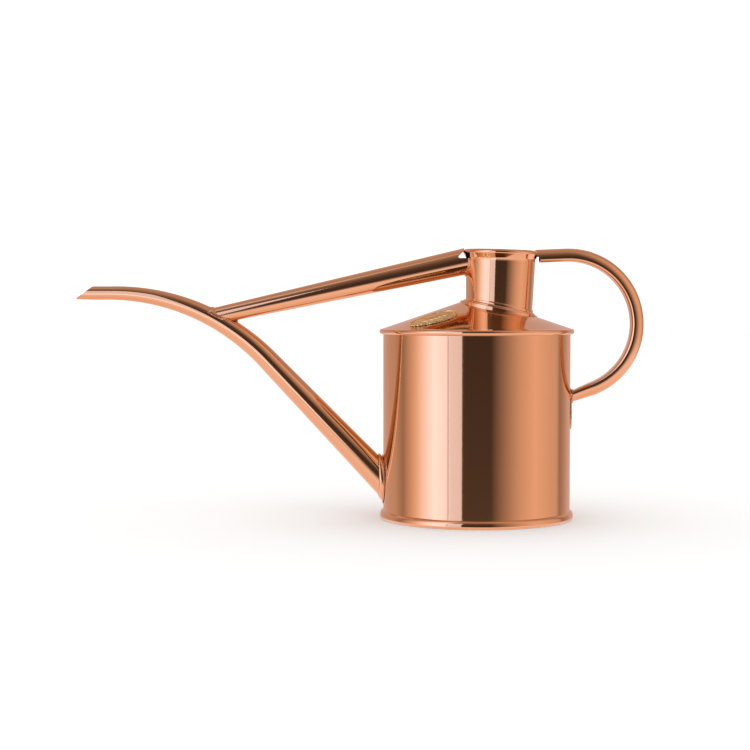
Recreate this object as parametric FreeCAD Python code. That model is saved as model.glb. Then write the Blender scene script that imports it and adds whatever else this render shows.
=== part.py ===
import FreeCAD, Part

import math
import os

Vec = FreeCAD.Vector

# Small indoor watering can in soldered copper sheet. Millimetres.
# Origin on the body's axis at the surface the can stands on, +Z up, +X towards the handle.

# Sheet and solder
SHEET = 0.7                  # copper sheet thickness
SOLDER = 1.2                 # leg of a solder fillet

# Body
BODY_R = 56.6                # outer radius of the body's wall
FLANGE_OUT = 1.0             # the wall's turned-out flange, inside each folded seam
BASE_SEAM_R = 58.5           # outer radius of the bottom seam
BASE_SEAM_H = 5.0            # height of the bottom seam
BASE_FLANGE_Z = 1.7          # underside of the wall's lower flange
BASE_LAND_R = 56.9           # outer radius of the flat ring that the can stands on
BASE_RECESS = 3.4            # height of the bottom's underside above the ground
TOP_SEAM_R = 58.9            # outer radius of the top seam
TOP_SEAM_LOW = 111.6         # underside of the top seam
TOP_FLANGE_Z = 113.0         # underside of the wall's upper flange
SHOULDER_EDGE_Z = 115.0      # the shoulder cone's outer surface at the wall's radius
SHOULDER_SLOPE = 0.34        # the cone's rise for each millimetre inwards
APEX_Z = SHOULDER_EDGE_Z + SHOULDER_SLOPE * BODY_R

# Neck, in its own frame: centre of its foot, s along its leaning axis
NECK_X = 13.5
NECK_Z = 127.0
NECK_LEAN = 1.8              # degrees from vertical, towards the handle
NECK_FOOT_R = 20.15          # outer radius at the shoulder
NECK_TOP_R = 20.9            # outer radius under the rim
NECK_BELOW = -8.0            # the tube's lower end, inside the body
RIM_S = 29.9                 # where the rim's underside leaves the wall
RIM_EDGE_S = 33.5            # height of the rim's widest point
RIM_TOP_S = 35.3
RIM_R = 22.75                # radius at the rim's widest point
RIM_WIRE_R = 0.85            # wire rolled into the rim

# Collar around the neck's foot, in a frame tilted with the shoulder
COLLAR_X = 13.15
COLLAR_Z = 125.9
COLLAR_TILT = 11.6           # degrees
COLLAR_R = 23.75
COLLAR_EDGE_H = 1.5
COLLAR_TOP_H = 4.3

# Spout: a straight tapered run, a bend, and a level tip
SPOUT_ANGLE = 46.2           # slope of the straight run, degrees
SPOUT_BEND_R = 130.0         # radius of the bend's centre line
SPOUT_CORNER_X = -165.3      # where the lines of the straight run and of the tip would cross
SPOUT_ROOT_X = -50.0         # inside the body, before it is trimmed to the wall
TIP_Z = 136.3
TIP_TUBE_R = 4.1             # true cylinder for a push-on rose
TIP_TUBE_X = (-233.0, -222.0)
TIP_END_X = -242.4
TIP_END_R = 3.8
TIP_SLOPE = 38.0             # slope of the bevelled mouth, degrees
SPOUT_ROOT_R = 8.5           # outer radius where the spout meets the wall
SPOUT_WALL = 0.7
BEND_SECTIONS = 12           # circles that the bend is drawn through

# Brace tube between the spout and the neck's rim
BRACE_LOW = (-144.6, 125.45)
BRACE_LOW_R = 5.33
BRACE_HIGH = (-10.15, 154.75)
BRACE_HIGH_R = 7.96
NOTCH = [(-11.6, 158.2), (-8.0, 161.6), (-6.6, 170.0), (20.0, 170.0), (20.0, 157.3), (-10.9, 157.3)]

# Handle: a D-section tube, round outside and flat inside
HANDLE_BEND = (55.4, 117.4)  # centre of its one long bend
HANDLE_BEND_R = 41.9
HANDLE_RISE = 2.3            # slope of the run that leaves the neck, degrees
HANDLE_SWEEP = 161.7         # angle of the bend, degrees
HANDLE_RUN = 28.0            # straight run from inside the neck to the bend
HANDLE_TAIL = 21.0           # straight tail from the bend to inside the wall
HANDLE_TAIL_SEEN = 13.0      # the part of the tail outside the wall
HANDLE_THICK = 7.9
HANDLE_FOOT_THICK = 6.4
HANDLE_CORNER = 2.0
HANDLE_WALL = 0.8
HANDLE_CUT_X = 38.1          # the lower half stops here, clear of the neck
HANDLE_CUT_Z = 158.2         # the upper half carries on above this height to the rim

# Foot plate of the handle
PLATE_LOW = 54.0
PLATE_HIGH = 78.5
PLATE_WIDTH = 13.0
PLATE_THICK = 0.9

# Badge on the shoulder
BADGE_X = -27.1
BADGE_Y = -29.3
BADGE_TURN = 8.0             # degrees from the X axis
BADGE_LONG = 28.4
BADGE_SHORT = 17.8
BADGE_THICK = 0.7
BADGE_BORDER = 1.0
BADGE_BORDER_H = 0.35


def frame_matrix(origin, tilt):
    """Placement with its own Z axis leaned by tilt degrees from +Z towards +X."""
    return FreeCAD.Placement(origin, FreeCAD.Rotation(Vec(0, 1, 0), tilt))


def wire_of(points, arcs=()):
    """Closed outline in the XZ plane; a point index in arcs is the middle point of an arc."""
    places = [Vec(x, 0, z) for x, z in points]
    count = len(places)
    edges = []
    i = 0
    while i < count:
        if (i + 1) in arcs:
            edges.append(Part.Arc(places[i], places[i + 1], places[(i + 2) % count]).toShape())
            i += 2
        else:
            edges.append(Part.LineSegment(places[i], places[(i + 1) % count]).toShape())
            i += 1
    return Part.Wire(edges)


def turned(points, arcs=(), hole=None):
    """Solid of revolution about Z from an outline in the XZ plane, with an optional round hole."""
    wires = [wire_of(points, arcs)]
    if hole:
        x, z, r = hole
        wires.append(Part.Wire(Part.makeCircle(r, Vec(x, 0, z), Vec(0, 1, 0))))
    face = Part.Face(wires) if len(wires) == 1 else Part.makeFace(wires, "Part::FaceMakerBullseye")
    return face.revolve(Vec(0, 0, 0), Vec(0, 0, 1), 360)


def prism(points, half_width):
    """Prism across Y with the given outline in the XZ plane."""
    places = [Vec(x, -half_width, z) for x, z in points]
    face = Part.Face(Part.makePolygon(places + places[:1]))
    return face.extrude(Vec(0, 2 * half_width, 0))


def cylinder(r, low, high):
    """Upright cylinder on the body's axis."""
    return Part.makeCylinder(r, high - low, Vec(0, 0, low))


def tapered(start, end, r_start, r_end):
    """Straight tapered rod between two points of the XZ plane."""
    a = Vec(start[0], 0, start[1])
    b = Vec(end[0], 0, end[1])
    along = b - a
    if abs(r_start - r_end) < 1e-6:
        return Part.makeCylinder(r_start, along.Length, a, along)
    return Part.makeCone(r_start, r_end, along.Length, a, along)


# ---- body ----------------------------------------------------------------------------------

def body_shell():
    """Rolled wall with a flange turned out at each end."""
    inner = BODY_R - SHEET
    out = BODY_R + FLANGE_OUT
    low = BASE_FLANGE_Z
    high = TOP_FLANGE_Z + SHEET
    wall = turned([(inner, low), (out, low), (out, low + SHEET), (BODY_R, low + SHEET),
                   (BODY_R, TOP_FLANGE_Z), (out, TOP_FLANGE_Z), (out, high), (inner, high)])
    root = spout_core(0.0)
    return wall.cut(root)


def base_disc():
    """Recessed bottom whose edge is folded up around the wall's lower flange."""
    inner = BODY_R - SHEET
    low = BASE_FLANGE_Z
    land_in = inner - 1.1
    outline = [(0, BASE_RECESS), (land_in - 0.9, BASE_RECESS), (land_in - 0.6, 1.0), (land_in, 0),
               (BASE_LAND_R, 0), (BASE_SEAM_R - 0.25, 0.75), (BASE_SEAM_R, 2.3),
               (BASE_SEAM_R - 0.35, 3.7), (BODY_R, BASE_SEAM_H)]
    slot = [(BODY_R, low + SHEET), (BODY_R + FLANGE_OUT, low + SHEET), (BODY_R + FLANGE_OUT, low),
            (inner, low), (inner, BASE_RECESS + SHEET), (0, BASE_RECESS + SHEET)]
    return turned(outline + slot, arcs=(2, 5, 7))


def shoulder_profile():
    """Outline of the shoulder cone with its edge folded under the wall's upper flange."""
    inner = BODY_R - SHEET
    top = TOP_FLANGE_Z + SHEET
    out = BODY_R + FLANGE_OUT
    drop = SHEET * math.hypot(1, SHOULDER_SLOPE)
    seam_mid = TOP_SEAM_LOW + 1.75
    blend_r = TOP_SEAM_R - 1.3
    return [(0, APEX_Z), (blend_r, APEX_Z - SHOULDER_SLOPE * blend_r),
            (TOP_SEAM_R - 0.25, seam_mid + 0.85), (TOP_SEAM_R, seam_mid),
            (TOP_SEAM_R - 0.6, TOP_SEAM_LOW + 0.35), (BODY_R, TOP_SEAM_LOW),
            (BODY_R, TOP_FLANGE_Z), (out, TOP_FLANGE_Z), (out, top), (inner, top),
            (inner, APEX_Z - SHOULDER_SLOPE * inner - drop), (0, APEX_Z - drop)]


def shoulder_cone():
    """Conical shoulder, pierced for the neck."""
    cone = turned(shoulder_profile(), arcs=(2, 4))
    return cone.cut(neck_envelope())


def shoulder_mass():
    """Everything under the shoulder's outer surface, for trimming what stands on it."""
    edge = APEX_Z - SHOULDER_SLOPE * 70.0
    return turned([(0, 60), (70, 60), (70, edge), (0, APEX_Z)])


def ring_fillet(corner_r, corner_z, leg_r, leg_z):
    """Hollow-faced solder fillet turned round the body's axis, legs signed from the corner."""
    mid_r = corner_r + 0.35 * leg_r
    mid_z = corner_z + 0.35 * leg_z
    return turned([(corner_r, corner_z), (corner_r + leg_r, corner_z), (mid_r, mid_z),
                   (corner_r, corner_z + leg_z)])


def base_solder():
    """Solder run in the corner between the bottom and the wall, inside."""
    run = ring_fillet(BODY_R - SHEET, BASE_RECESS + SHEET, -SOLDER, SOLDER)
    return run.cut(seam_solder())


def shoulder_solder():
    """Solder run in the corner between the wall and the shoulder, inside."""
    inner = BODY_R - SHEET
    drop = SHEET * math.hypot(1, SHOULDER_SLOPE)
    z = APEX_Z - SHOULDER_SLOPE * inner - drop
    tip = inner - SOLDER
    return turned([(inner, z), (tip, z + SHOULDER_SLOPE * SOLDER), (inner - 0.4, z - 0.35),
                   (inner, z - SOLDER)])


def seam_solder():
    """Solder line down the inside of the wall's lap seam, under the handle."""
    inner = BODY_R - SHEET
    low = BASE_RECESS + SHEET
    line = Part.makeBox(2.0, 2.4, 110.0 - low, Vec(inner - 0.5, -1.2, low))
    return line.common(cylinder(inner, low, 110.0))


# ---- neck ----------------------------------------------------------------------------------

def neck_frame():
    """Placement of the neck's own frame."""
    return frame_matrix(Vec(NECK_X, 0, NECK_Z), NECK_LEAN)


def neck_outline(inner_side):
    """The neck tube's outline with its rolled rim; a solid plug when inner_side is False."""
    foot_r = NECK_FOOT_R + NECK_BELOW * (NECK_TOP_R - NECK_FOOT_R) / RIM_S
    outside = [(foot_r, NECK_BELOW), (NECK_TOP_R, RIM_S), (RIM_R - 0.35, RIM_EDGE_S - 0.9),
               (RIM_R, RIM_EDGE_S), (RIM_R - 0.55, RIM_TOP_S - 0.6), (RIM_R - 1.6, RIM_TOP_S)]
    bore = NECK_TOP_R - SHEET
    if not inner_side:
        return outside + [(0, RIM_TOP_S), (0, NECK_BELOW)]
    return outside + [(bore + 0.25, RIM_TOP_S - 0.2), (bore, RIM_TOP_S - 0.9), (bore, RIM_S - 0.8),
                      (foot_r - SHEET, NECK_BELOW)]


def neck_envelope():
    """The neck with its bore filled, for cutting what meets it."""
    plug = turned(neck_outline(False), arcs=(3,))
    plug.Placement = neck_frame()
    return plug


def rim_wire_place():
    """Radius and height of the rim wire's centre line, in the neck's frame."""
    return RIM_R - RIM_WIRE_R - 0.35, RIM_EDGE_S + 0.15


def neck_tube():
    """Filler neck with its top edge rolled over a wire."""
    r, s = rim_wire_place()
    tube = turned(neck_outline(True), arcs=(3, 6), hole=(r, s, RIM_WIRE_R))
    tube.Placement = neck_frame()
    return tube


def neck_rim_wire():
    """Stiffening wire inside the neck's rolled rim."""
    r, s = rim_wire_place()
    ring = Part.makeTorus(r, RIM_WIRE_R, Vec(0, 0, s), Vec(0, 0, 1))
    ring.Placement = neck_frame()
    return ring


def neck_collar():
    """Moulded flange over the joint of neck and shoulder, trimmed to both."""
    edge = COLLAR_R
    step = edge - 1.5
    outline = [(17.0, -4.0), (edge, -4.0), (edge, COLLAR_EDGE_H - 0.75),
               (edge - 0.2, COLLAR_EDGE_H - 0.2), (edge - 0.75, COLLAR_EDGE_H),
               (step, COLLAR_EDGE_H), (step - 0.15, COLLAR_EDGE_H + 0.45),
               (step - 1.5, COLLAR_EDGE_H + 1.0), (20.35, COLLAR_TOP_H), (17.0, COLLAR_TOP_H)]
    ring = turned(outline, arcs=(3, 7))
    ring.Placement = frame_matrix(Vec(COLLAR_X, 0, COLLAR_Z), COLLAR_TILT)
    return ring.cut(neck_envelope()).cut(shoulder_mass())


def neck_solder():
    """Solder fillet under the shoulder, round the neck's lower end."""
    drop = SHEET * math.hypot(1, SHOULDER_SLOPE)
    under = turned([(0, APEX_Z - drop - 1.3), (0, APEX_Z - drop),
                    (60, APEX_Z - drop - SHOULDER_SLOPE * 60),
                    (60, APEX_Z - drop - 1.3 - SHOULDER_SLOPE * 60)])
    sleeve = turned([(0, NECK_BELOW + 0.5), (NECK_FOOT_R + SOLDER - 0.2, NECK_BELOW + 0.5),
                     (NECK_FOOT_R + SOLDER - 0.2, 8.0), (0, 8.0)])
    sleeve.Placement = neck_frame()
    return sleeve.common(under).cut(neck_envelope())


# ---- spout ---------------------------------------------------------------------------------

def spout_bend_point(angle):
    """Point of the bend's centre line, and the way the spout runs there, towards the tip.

    The angle runs from 0 at the tip's end of the bend to SPOUT_ANGLE at the other.
    """
    turn = math.radians(angle)
    reach = SPOUT_BEND_R * math.tan(math.radians(SPOUT_ANGLE) / 2)
    centre = Vec(SPOUT_CORNER_X - reach, 0, TIP_Z - SPOUT_BEND_R)
    point = centre + Vec(math.sin(turn), 0, math.cos(turn)) * SPOUT_BEND_R
    return point, Vec(-math.cos(turn), 0, math.sin(turn))


def spout_core(grow):
    """Solid spout, its radius grown by grow, from inside the body to the level tip."""
    bend_low, way = spout_bend_point(SPOUT_ANGLE)
    bend_high = spout_bend_point(0)[0]
    straight = (SPOUT_ROOT_X - bend_low.x) / math.cos(math.radians(SPOUT_ANGLE))
    inside = (BODY_R + SPOUT_ROOT_X) / math.cos(math.radians(SPOUT_ANGLE))
    bend_length = SPOUT_BEND_R * math.radians(SPOUT_ANGLE)
    total = straight - inside + bend_length + bend_high.x - TIP_TUBE_X[1]
    fall = (SPOUT_ROOT_R - TIP_TUBE_R) / total

    def radius(distance):
        """Radius at a distance along the centre line from the body's wall."""
        return SPOUT_ROOT_R - fall * distance + grow

    root = bend_low - way * straight
    run = Part.makeCone(radius(-inside), radius(straight - inside), straight, root, way)
    sections = []
    for i in range(BEND_SECTIONS + 1):
        share = i / BEND_SECTIONS
        point, heading = spout_bend_point(SPOUT_ANGLE * (1 - share))
        r = radius(straight - inside + bend_length * share)
        sections.append(Part.Wire(Part.makeCircle(r, point, heading)))
    bend = Part.makeLoft(sections, True, False)
    level = tapered((bend_high.x, TIP_Z), (TIP_TUBE_X[1], TIP_Z),
                    radius(straight - inside + bend_length), TIP_TUBE_R + grow)
    tube = tapered((TIP_TUBE_X[1], TIP_Z), (TIP_TUBE_X[0], TIP_Z), TIP_TUBE_R + grow,
                   TIP_TUBE_R + grow)
    tip = tapered((TIP_TUBE_X[0], TIP_Z), (TIP_END_X - 1, TIP_Z), TIP_TUBE_R + grow,
                  TIP_END_R + grow)
    return run.multiFuse([bend, level, tube, tip])


def spout_tube():
    """Tapered spout, open at both ends, with a bevelled mouth."""
    outer = spout_core(0.0)
    bore = spout_core(-SPOUT_WALL)
    tube = outer.cut(bore)
    slope = math.tan(math.radians(TIP_SLOPE))
    low = TIP_Z - 12
    high = TIP_Z + 12
    lip = TIP_Z - TIP_END_R
    mouth = prism([(TIP_END_X - 30, low), (TIP_END_X + (low - lip) / slope, low),
                   (TIP_END_X + (high - lip) / slope, high), (TIP_END_X - 30, high)], 10)
    stub = turned([(0, 0), (BODY_R - SHEET, 0), (BODY_R - SHEET, 110), (0, 110)])
    return tube.cut(mouth).cut(stub)


def spout_ring(grow_inner, grow_outer, reach):
    """Band round the spout's root, between two radii and within reach of the wall."""
    shell = cylinder(BODY_R + reach, 5, 60).cut(cylinder(BODY_R, 4, 61))
    near = Part.makeBox(40, 60, 60, Vec(-80, -30, 4))
    band = spout_core(grow_outer).common(shell.common(near))
    return band.cut(spout_core(grow_inner))


def spout_collar():
    """Collar fitted round the spout where it meets the wall."""
    return spout_ring(0.0, 1.0, 3.1)


def spout_solder():
    """Solder fillet between the spout's collar and the wall."""
    return spout_ring(1.0, 2.0, 0.8)


# ---- brace ---------------------------------------------------------------------------------

def brace_rod(grow):
    """Solid brace, its radius grown by grow, run past both of its ends."""
    dx = BRACE_HIGH[0] - BRACE_LOW[0]
    dz = BRACE_HIGH[1] - BRACE_LOW[1]
    dr = BRACE_HIGH_R - BRACE_LOW_R
    before = -0.18
    after = 1.12
    low = (BRACE_LOW[0] + before * dx, BRACE_LOW[1] + before * dz)
    high = (BRACE_LOW[0] + after * dx, BRACE_LOW[1] + after * dz)
    return tapered(low, high, BRACE_LOW_R + before * dr + grow, BRACE_LOW_R + after * dr + grow)


def largest(shape):
    """The biggest solid of a boolean's result."""
    return max(shape.Solids, key=lambda solid: solid.Volume)


def brace_tube():
    """Tapered brace, saddled on the spout and notched round the neck's rim."""
    tube = brace_rod(0.0).cut(brace_rod(-SHEET))
    tube = tube.cut(spout_core(0.0)).cut(neck_envelope())
    tube = tube.cut(prism(NOTCH, 20))
    tube = tube.cut(Part.makeBox(60, 60, 60, Vec(NECK_X - 14, -30, 130)))
    return largest(tube)


def brace_foot_solder():
    """Thin flared run of solder round the brace's foot on the spout."""
    skin = spout_core(0.8).cut(spout_core(0.0))
    run = brace_rod(0.9).common(skin).cut(brace_rod(0.0))
    upper_side = prism([(-172, 128.7), (-158, 122.6), (-144.6, 114.8), (-128, 101.5), (-128, 150),
                        (-172, 150)], 20)
    return largest(run.common(upper_side))


def brace_neck_solder():
    """Run of solder round the brace's mouth on the neck, below the notch."""
    skin = turned([(0, 0), (NECK_FOOT_R + 0.9, 0), (NECK_TOP_R + 0.8, RIM_S), (0, RIM_S)])
    skin.Placement = neck_frame()
    below = Part.makeBox(40, 40, 157.3 - 130, Vec(NECK_X - 40, -20, 130))
    run = brace_rod(0.9).common(skin).cut(neck_envelope()).cut(brace_rod(0.0))
    return largest(run.common(below))


# ---- handle --------------------------------------------------------------------------------

def heading_vector(heading):
    """Unit vector in the XZ plane at an angle in degrees above +X."""
    angle = math.radians(heading)
    return Vec(math.cos(angle), 0, math.sin(angle))


def d_section(place, heading, thick, inset):
    """D outline across the handle: half round outside, flat inside with rounded corners."""
    angle = math.radians(heading)
    out = Vec(-math.sin(angle), 0, math.cos(angle))
    side = Vec(0, 1, 0)
    corner = HANDLE_CORNER * thick / HANDLE_THICK
    half = thick - corner
    base = place + out * (corner - thick / 2)
    r = half - inset
    c = corner - inset
    q = math.sqrt(0.5)
    flat = half - corner
    a = base + side * r
    b = base + out * r
    d = base - side * r
    e = base - side * (flat + c * q) - out * (c * q)
    f = base - side * flat - out * c
    g = base + side * flat - out * c
    h = base + side * (flat + c * q) - out * (c * q)
    return Part.Wire([Part.Arc(a, b, d).toShape(), Part.Arc(d, e, f).toShape(),
                      Part.LineSegment(f, g).toShape(), Part.Arc(g, h, a).toShape()])


def handle_core(inset, beyond=0.0):
    """Solid handle from inside the neck to inside the wall, shrunk by inset, ends run on."""
    centre = Vec(HANDLE_BEND[0], 0, HANDLE_BEND[1])
    out_heading = HANDLE_RISE - HANDLE_SWEEP
    bend_start = centre + heading_vector(HANDLE_RISE + 90) * HANDLE_BEND_R
    bend_end = centre + heading_vector(out_heading + 90) * HANDLE_BEND_R
    along = heading_vector(HANDLE_RISE) * (HANDLE_RUN + beyond)
    run_face = Part.Face(d_section(bend_start - along, HANDLE_RISE, HANDLE_THICK, inset))
    run = run_face.extrude(along)
    bend_face = Part.Face(d_section(bend_start, HANDLE_RISE, HANDLE_THICK, inset))
    bend = bend_face.revolve(centre, Vec(0, 1, 0), HANDLE_SWEEP)
    tail_length = HANDLE_TAIL + beyond
    foot = bend_end + heading_vector(out_heading) * tail_length
    slimmer = (HANDLE_THICK - HANDLE_FOOT_THICK) * tail_length / HANDLE_TAIL_SEEN
    tail = Part.makeLoft([d_section(bend_end, out_heading, HANDLE_THICK, inset),
                          d_section(foot, out_heading, HANDLE_THICK - slimmer, inset)], True, True)
    return run.multiFuse([bend, tail])


def handle_tube():
    """D-section handle, its upper half resting on the neck's rim."""
    tube = handle_core(0.0).cut(handle_core(HANDLE_WALL, 1.0))
    below = Part.makeBox(HANDLE_CUT_X - 10, 60, HANDLE_CUT_Z - 120, Vec(10, -30, 120))
    tube = tube.cut(neck_envelope()).cut(below)
    tube = tube.cut(Part.makeBox(50, 60, 60, Vec(NECK_X - 28, -30, 130)))
    return largest(tube.cut(cylinder(BODY_R + PLATE_THICK, 40, 110)))


def handle_neck_solder():
    """Solder that closes the handle's upper end against the rim."""
    end = Part.makeBox(HANDLE_CUT_X + 1.5 - 20, 40, 20, Vec(20, -20, HANDLE_CUT_Z))
    plug = handle_core(HANDLE_WALL, 1.0).common(end).cut(neck_envelope())
    return largest(plug.cut(Part.makeBox(50, 60, 60, Vec(NECK_X - 28, -30, 130))))


def plate_blank(grow, low, high, thick):
    """Strip of the given thickness on the wall, round-ended, grown sideways by grow."""
    half = PLATE_WIDTH / 2 + grow
    ring = cylinder(BODY_R + thick, low - 1, high + 1).cut(cylinder(BODY_R, low - 2, high + 2))
    box = Part.makeBox(20, 2 * half, high - low - 2 * half, Vec(45, -half, low + half))
    ends = [Part.makeCylinder(half, 20, Vec(45, 0, z), Vec(1, 0, 0))
            for z in (low + half, high - half)]
    return box.multiFuse(ends).common(ring)


def handle_foot_plate():
    """Plate soldered to the wall, under the handle's lower end and down below it."""
    return plate_blank(0.0, PLATE_LOW, PLATE_HIGH, PLATE_THICK)


def handle_foot_solder():
    """Solder fillet round the handle's foot on its plate."""
    shell = cylinder(BODY_R + PLATE_THICK + 0.8, 60, 90).cut(cylinder(BODY_R + PLATE_THICK, 59, 91))
    near = Part.makeBox(20, 30, 30, Vec(45, -15, 60))
    run = handle_core(-0.8).common(shell.common(near))
    return largest(run.cut(handle_core(0.0)))


def foot_plate_solder():
    """Thin film of solder showing all round the foot plate's edge."""
    ring = plate_blank(0.5, PLATE_LOW - 0.5, PLATE_HIGH + 0.5, 0.35)
    return ring.cut(plate_blank(0.0, PLATE_LOW, PLATE_HIGH, 5.0))


# ---- badge ---------------------------------------------------------------------------------

def badge_column(grow):
    """Upright oval column through the badge's place."""
    ellipse = Part.Ellipse(Vec(0, 0, 0), BADGE_LONG / 2 + grow, BADGE_SHORT / 2 + grow)
    column = Part.Face(Part.Wire(ellipse.toShape())).extrude(Vec(0, 0, 60))
    column.rotate(Vec(0, 0, 0), Vec(0, 0, 1), BADGE_TURN)
    column.translate(Vec(BADGE_X, BADGE_Y, 90))
    return column


def shoulder_layer(low, high):
    """Layer between two heights above the shoulder's outer surface."""
    rise = math.hypot(1, SHOULDER_SLOPE)
    a = APEX_Z + low * rise
    b = APEX_Z + high * rise
    drop = SHOULDER_SLOPE * 60
    return turned([(0, a), (60, a - drop), (60, b - drop), (0, b)])


def badge_plate():
    """Oval brass plate lying on the shoulder."""
    return badge_column(0.0).common(shoulder_layer(0.3, 0.3 + BADGE_THICK))


def badge_border():
    """Raised border round the plate's edge."""
    ring = badge_column(0.0).cut(badge_column(-BADGE_BORDER))
    low = 0.3 + BADGE_THICK
    return ring.common(shoulder_layer(low, low + BADGE_BORDER_H))


def badge_solder():
    """Film of solder between the plate and the shoulder."""
    return badge_column(-0.9).common(shoulder_layer(0.0, 0.3))


PIECES = {
    "body_shell": body_shell,
    "base_disc": base_disc,
    "shoulder_cone": shoulder_cone,
    "neck_tube": neck_tube,
    "neck_rim_wire": neck_rim_wire,
    "neck_collar": neck_collar,
    "spout_tube": spout_tube,
    "spout_collar": spout_collar,
    "brace_tube": brace_tube,
    "handle_tube": handle_tube,
    "handle_foot_plate": handle_foot_plate,
    "badge_plate": badge_plate,
    "badge_border": badge_border,
    "body_seam_solder": seam_solder,
    "base_solder": base_solder,
    "shoulder_solder": shoulder_solder,
    "neck_solder": neck_solder,
    "spout_solder": spout_solder,
    "brace_foot_solder": brace_foot_solder,
    "brace_neck_solder": brace_neck_solder,
    "handle_neck_solder": handle_neck_solder,
    "handle_foot_solder": handle_foot_solder,
    "foot_plate_solder": foot_plate_solder,
    "badge_solder": badge_solder,
}


def main():
    """Build every piece and write each to its own file."""
    os.makedirs("parts", exist_ok=True)
    for name, build in PIECES.items():
        shape = build()
        solids = shape.Solids
        print(name, "solids", len(solids), "volume", round(shape.Volume, 1), shape.isValid())
        solids[0].exportStep("parts/" + name + ".step")


main()
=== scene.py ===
"""A small indoor watering can in polished copper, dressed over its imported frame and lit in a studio."""

import logging
import math
from dataclasses import dataclass
from enum import Enum
from typing import Sequence

import bpy
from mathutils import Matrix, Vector


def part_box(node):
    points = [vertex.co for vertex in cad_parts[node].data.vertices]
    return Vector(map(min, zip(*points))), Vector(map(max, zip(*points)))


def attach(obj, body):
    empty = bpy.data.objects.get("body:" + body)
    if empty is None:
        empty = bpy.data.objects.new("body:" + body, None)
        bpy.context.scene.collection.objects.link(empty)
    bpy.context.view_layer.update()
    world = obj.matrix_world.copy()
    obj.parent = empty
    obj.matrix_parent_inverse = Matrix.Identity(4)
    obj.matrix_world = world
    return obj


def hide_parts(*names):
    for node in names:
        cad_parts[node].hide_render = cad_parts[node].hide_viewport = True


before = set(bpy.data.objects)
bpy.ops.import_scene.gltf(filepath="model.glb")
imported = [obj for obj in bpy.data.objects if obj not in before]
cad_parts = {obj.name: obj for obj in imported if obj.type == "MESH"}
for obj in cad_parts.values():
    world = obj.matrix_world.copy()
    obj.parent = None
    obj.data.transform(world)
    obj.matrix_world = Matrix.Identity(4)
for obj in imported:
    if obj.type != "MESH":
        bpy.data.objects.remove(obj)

LOG = logging.getLogger("watering_can")
Colour = tuple[float, float, float]
Place = tuple[float, float, float]
Point = tuple[float, float]
MM = 0.001
FACET = 0.05
ROUND = 240


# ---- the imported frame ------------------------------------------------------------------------


def side(node: str, axis: str, end: int = 1) -> float:
    """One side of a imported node's box, in millimetres, rounded to clear its facets.

    Args:
        node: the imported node.
        axis: "x", "y" or "z".
        end: 0 for the low side, 1 for the high side.

    Returns:
        The side's place on that axis.
    """
    return round(getattr(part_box(node)[end], axis) / MM / FACET) * FACET


def middle(node: str, axis: str) -> float:
    """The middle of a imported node's box on one axis, in millimetres."""
    return (side(node, axis, 0) + side(node, axis)) / 2


# ---- shader maths ----------------------------------------------------------------------------


class Sock:
    """A node's output socket that can be used in Python expressions."""

    def __init__(self, graph: "Graph", socket: bpy.types.NodeSocket) -> None:
        """Wrap one socket of one graph."""
        self.graph = graph
        self.socket = socket

    def _math(self, operation: str, first: object, second: object) -> "Sock":
        """Add one Math node.

        Args:
            operation: the Math node's operation.
            first: the first value or socket.
            second: the second value or socket.

        Returns:
            The result.
        """
        return self.graph.node("ShaderNodeMath", {"operation": operation}, {0: first, 1: second})

    def __add__(self, other: object) -> "Sock":
        """Add."""
        return self._math("ADD", self, other)

    def __radd__(self, other: object) -> "Sock":
        """Add from the left."""
        return self._math("ADD", other, self)

    def __sub__(self, other: object) -> "Sock":
        """Subtract."""
        return self._math("SUBTRACT", self, other)

    def __rsub__(self, other: object) -> "Sock":
        """Subtract from a number."""
        return self._math("SUBTRACT", other, self)

    def __mul__(self, other: object) -> "Sock":
        """Multiply."""
        return self._math("MULTIPLY", self, other)

    def __rmul__(self, other: object) -> "Sock":
        """Multiply from the left."""
        return self._math("MULTIPLY", other, self)

    def __truediv__(self, other: object) -> "Sock":
        """Divide."""
        return self._math("DIVIDE", self, other)


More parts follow.
